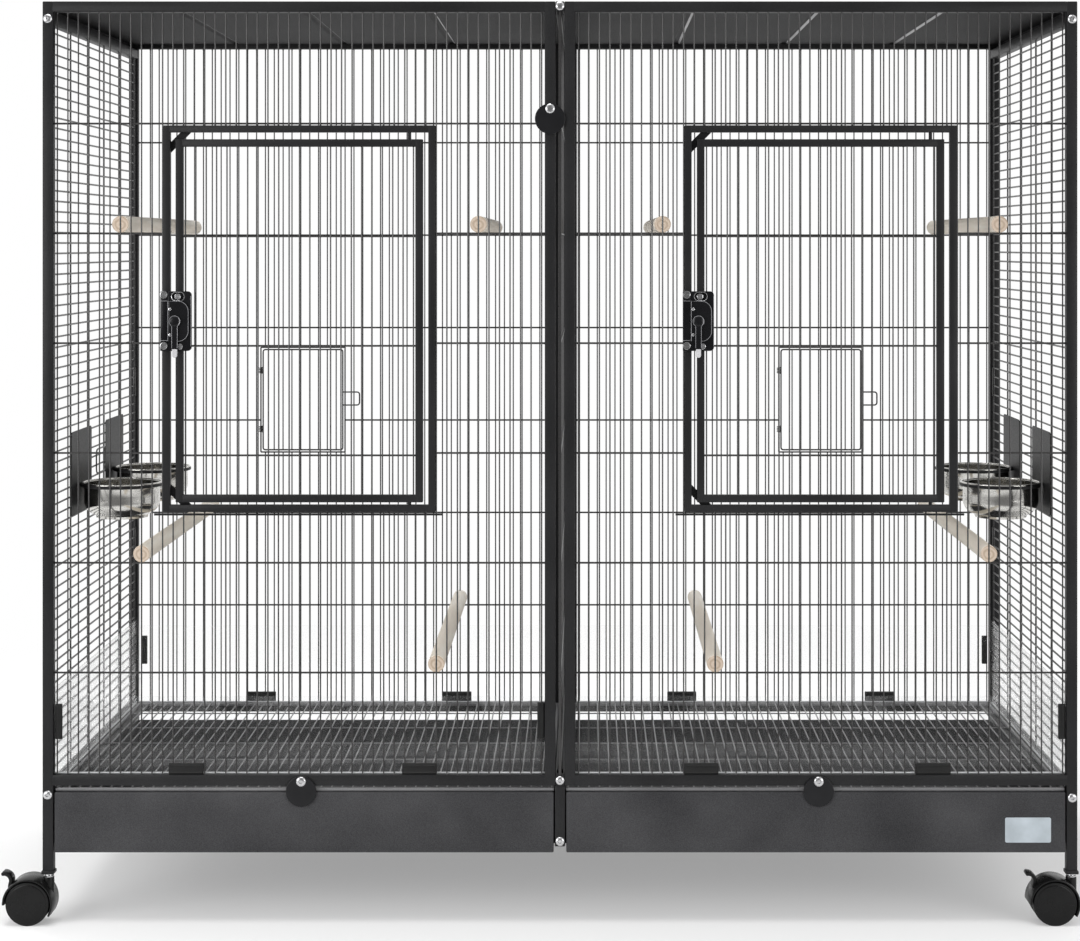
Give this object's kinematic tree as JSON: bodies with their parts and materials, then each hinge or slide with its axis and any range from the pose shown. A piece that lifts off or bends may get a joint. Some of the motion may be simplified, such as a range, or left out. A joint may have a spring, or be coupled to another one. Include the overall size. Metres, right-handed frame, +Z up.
{
  "type": "double bird cage",
  "caption": "Divided wire bird cage on casters with hinged doors, rear hatches, slide-out trays, perches, feeding bowls, clear guards and a sliding divider.",
  "frame": {"origin": "on the floor, under the middle of the cage", "axes": "+X to the right along the width, +Y from the doors to the back, +Z up"},
  "size_m": [1.882, 0.769, 1.546],
  "materials": {
    "frame_paint": "fine hammertone",
    "drawer_paint": "fine hammertone",
    "grate_paint": "satin",
    "lock_plastic": "satin",
    "caster_plastic": "semi-gloss",
    "wheel_rubber": "matte",
    "steel": "polished",
    "wood": "sanded",
    "clear_guard": "clear acrylic"
  },
  "bodies": {
    "root": {"left_front_panel": "frame_paint", "left_back_panel": "frame_paint", "left_side_panel": "frame_paint", "left_roof": "frame_paint", "left_grate": "grate_paint", "left_front_guard": "clear_guard", "left_back_guard": "clear_guard", "left_side_guard": "clear_guard", "left_front_bowl_holder": "frame_paint", "left_back_bowl_holder": "frame_paint", "right_front_panel": "frame_paint", "right_back_panel": "frame_paint", "right_side_panel": "frame_paint", "right_roof": "frame_paint", "right_grate": "grate_paint", "right_front_guard": "clear_guard", "right_back_guard": "clear_guard", "right_side_guard": "clear_guard", "right_front_bowl_holder": "frame_paint", "right_back_bowl_holder": "frame_paint", "left_perch_top_outer": "wood", "left_perch_top_inner": "wood", "left_perch_middle": "wood", "left_perch_low": "wood", "right_perch_top_inner": "wood", "right_perch_top_outer": "wood", "right_perch_middle": "wood", "right_perch_low": "wood", "centre_frame": "frame_paint", "centre_top_rail": "frame_paint"},
    "left_door": {"left_door": "frame_paint", "left_lock_case": "lock_plastic"},
    "left_lock_lever": {"left_lock_lever": "lock_plastic"},
    "left_disc_latch": {"left_disc_latch": "lock_plastic"},
    "left_drawer": {"left_drawer": "drawer_paint"},
    "left_hatch": {"left_hatch": "frame_paint"},
    "left_front_bowl": {"left_front_bowl": "steel"},
    "left_front_caster": {"left_front_caster_hood": "caster_plastic"},
    "left_front_caster_wheels": {"left_front_caster_wheels": "wheel_rubber"},
    "left_front_caster_brake": {"left_front_caster_brake": "caster_plastic"},
    "left_back_bowl": {"left_back_bowl": "steel"},
    "left_back_caster": {"left_back_caster_hood": "caster_plastic"},
    "left_back_caster_wheels": {"left_back_caster_wheels": "wheel_rubber"},
    "left_back_caster_brake": {"left_back_caster_brake": "caster_plastic"},
    "right_door": {"right_door": "frame_paint", "right_lock_case": "lock_plastic"},
    "right_lock_lever": {"right_lock_lever": "lock_plastic"},
    "right_disc_latch": {"right_disc_latch": "lock_plastic"},
    "right_drawer": {"right_drawer": "drawer_paint"},
    "right_hatch": {"right_hatch": "frame_paint"},
    "right_front_bowl": {"right_front_bowl": "steel"},
    "right_front_caster": {"right_front_caster_hood": "caster_plastic"},
    "right_front_caster_wheels": {"right_front_caster_wheels": "wheel_rubber"},
    "right_front_caster_brake": {"right_front_caster_brake": "caster_plastic"},
    "right_back_bowl": {"right_back_bowl": "steel"},
    "right_back_caster": {"right_back_caster_hood": "caster_plastic"},
    "right_back_caster_wheels": {"right_back_caster_wheels": "wheel_rubber"},
    "right_back_caster_brake": {"right_back_caster_brake": "caster_plastic"},
    "divider": {"divider": "frame_paint"},
    "divider_latch": {"divider_latch": "lock_plastic"}
  },
  "joints": [
    {"name": "left_door_hinge", "type": "hinge", "parent": "root", "child": "left_door", "pos_m": [-0.2528, -0.3585, 1.01065], "axis": [0, 0, 1], "range_deg": [0, 150]},
    {"name": "left_lock_turn", "type": "hinge", "parent": "left_door", "child": "left_lock_lever", "pos_m": [-0.6434, -0.3781, 1.01], "axis": [0, 1, 0], "range_deg": [0, 90]},
    {"name": "left_disc_latch_turn", "type": "hinge", "parent": "root", "child": "left_disc_latch", "pos_m": [-0.4335, -0.3678, 0.239], "axis": [0, 1, 0], "continuous": true},
    {"name": "left_drawer_slide", "type": "slide", "parent": "root", "child": "left_drawer", "axis": [0, -1, 0], "range_m": [0, 0.6]},
    {"name": "left_hatch_hinge", "type": "hinge", "parent": "root", "child": "left_hatch", "pos_m": [-0.60546, 0.3585, 0.8285], "axis": [0, 0, 1], "range_deg": [0, 150]},
    {"name": "left_front_bowl_lift", "type": "slide", "parent": "root", "child": "left_front_bowl", "axis": [0, 0, 1], "range_m": [0, 0.1]},
    {"name": "left_front_caster_swivel", "type": "hinge", "parent": "root", "child": "left_front_caster", "pos_m": [-0.8585, -0.3585, 0.0829], "axis": [0, 0, 1], "continuous": true},
    {"name": "left_front_caster_roll", "type": "hinge", "parent": "left_front_caster", "child": "left_front_caster_wheels", "pos_m": [-0.8895, -0.3585, 0.0365], "axis": [0, 1, 0], "continuous": true},
    {"name": "left_front_caster_brake_press", "type": "hinge", "parent": "left_front_caster", "child": "left_front_caster_brake", "pos_m": [-0.92279, -0.3585, 0.06648], "axis": [0, -1, 0], "range_deg": [0, 15]},
    {"name": "left_back_bowl_lift", "type": "slide", "parent": "root", "child": "left_back_bowl", "axis": [0, 0, 1], "range_m": [0, 0.1]},
    {"name": "left_back_caster_swivel", "type": "hinge", "parent": "root", "child": "left_back_caster", "pos_m": [-0.8585, 0.3585, 0.0829], "axis": [0, 0, 1], "continuous": true},
    {"name": "left_back_caster_roll", "type": "hinge", "parent": "left_back_caster", "child": "left_back_caster_wheels", "pos_m": [-0.8275, 0.3585, 0.0365], "axis": [0, 1, 0], "continuous": true},
    {"name": "left_back_caster_brake_press", "type": "hinge", "parent": "left_back_caster", "child": "left_back_caster_brake", "pos_m": [-0.79421, 0.3585, 0.06648], "axis": [0, 1, 0], "range_deg": [0, 15]},
    {"name": "right_door_hinge", "type": "hinge", "parent": "root", "child": "right_door", "pos_m": [0.6222, -0.3585, 1.01065], "axis": [0, 0, 1], "range_deg": [0, 150]},
    {"name": "right_lock_turn", "type": "hinge", "parent": "right_door", "child": "right_lock_lever", "pos_m": [0.2316, -0.3781, 1.01], "axis": [0, 1, 0], "range_deg": [0, 90]},
    {"name": "right_disc_latch_turn", "type": "hinge", "parent": "root", "child": "right_disc_latch", "pos_m": [0.4335, -0.3678, 0.239], "axis": [0, 1, 0], "continuous": true},
    {"name": "right_drawer_slide", "type": "slide", "parent": "root", "child": "right_drawer", "axis": [0, -1, 0], "range_m": [0, 0.6]},
    {"name": "right_hatch_hinge", "type": "hinge", "parent": "root", "child": "right_hatch", "pos_m": [0.42866, 0.3585, 0.8285], "axis": [0, 0, 1], "range_deg": [0, 150]},
    {"name": "right_front_bowl_lift", "type": "slide", "parent": "root", "child": "right_front_bowl", "axis": [0, 0, 1], "range_m": [0, 0.1]},
    {"name": "right_front_caster_swivel", "type": "hinge", "parent": "root", "child": "right_front_caster", "pos_m": [0.8585, -0.3585, 0.0829], "axis": [0, 0, 1], "continuous": true},
    {"name": "right_front_caster_roll", "type": "hinge", "parent": "right_front_caster", "child": "right_front_caster_wheels", "pos_m": [0.8275, -0.3585, 0.0365], "axis": [0, 1, 0], "continuous": true},
    {"name": "right_front_caster_brake_press", "type": "hinge", "parent": "right_front_caster", "child": "right_front_caster_brake", "pos_m": [0.79421, -0.3585, 0.06648], "axis": [0, -1, 0], "range_deg": [0, 15]},
    {"name": "right_back_bowl_lift", "type": "slide", "parent": "root", "child": "right_back_bowl", "axis": [0, 0, 1], "range_m": [0, 0.1]},
    {"name": "right_back_caster_swivel", "type": "hinge", "parent": "root", "child": "right_back_caster", "pos_m": [0.8585, 0.3585, 0.0829], "axis": [0, 0, 1], "continuous": true},
    {"name": "right_back_caster_roll", "type": "hinge", "parent": "right_back_caster", "child": "right_back_caster_wheels", "pos_m": [0.8895, 0.3585, 0.0365], "axis": [0, 1, 0], "continuous": true},
    {"name": "right_back_caster_brake_press", "type": "hinge", "parent": "right_back_caster", "child": "right_back_caster_brake", "pos_m": [0.92279, 0.3585, 0.06648], "axis": [0, 1, 0], "range_deg": [0, 15]},
    {"name": "divider_slide", "type": "slide", "parent": "root", "child": "divider", "axis": [0, 1, 0], "range_m": [0, 0.7]},
    {"name": "divider_latch_turn", "type": "hinge", "parent": "root", "child": "divider_latch", "pos_m": [-0.0165, -0.3678, 1.366], "axis": [0, 1, 0], "continuous": true}
  ]
}
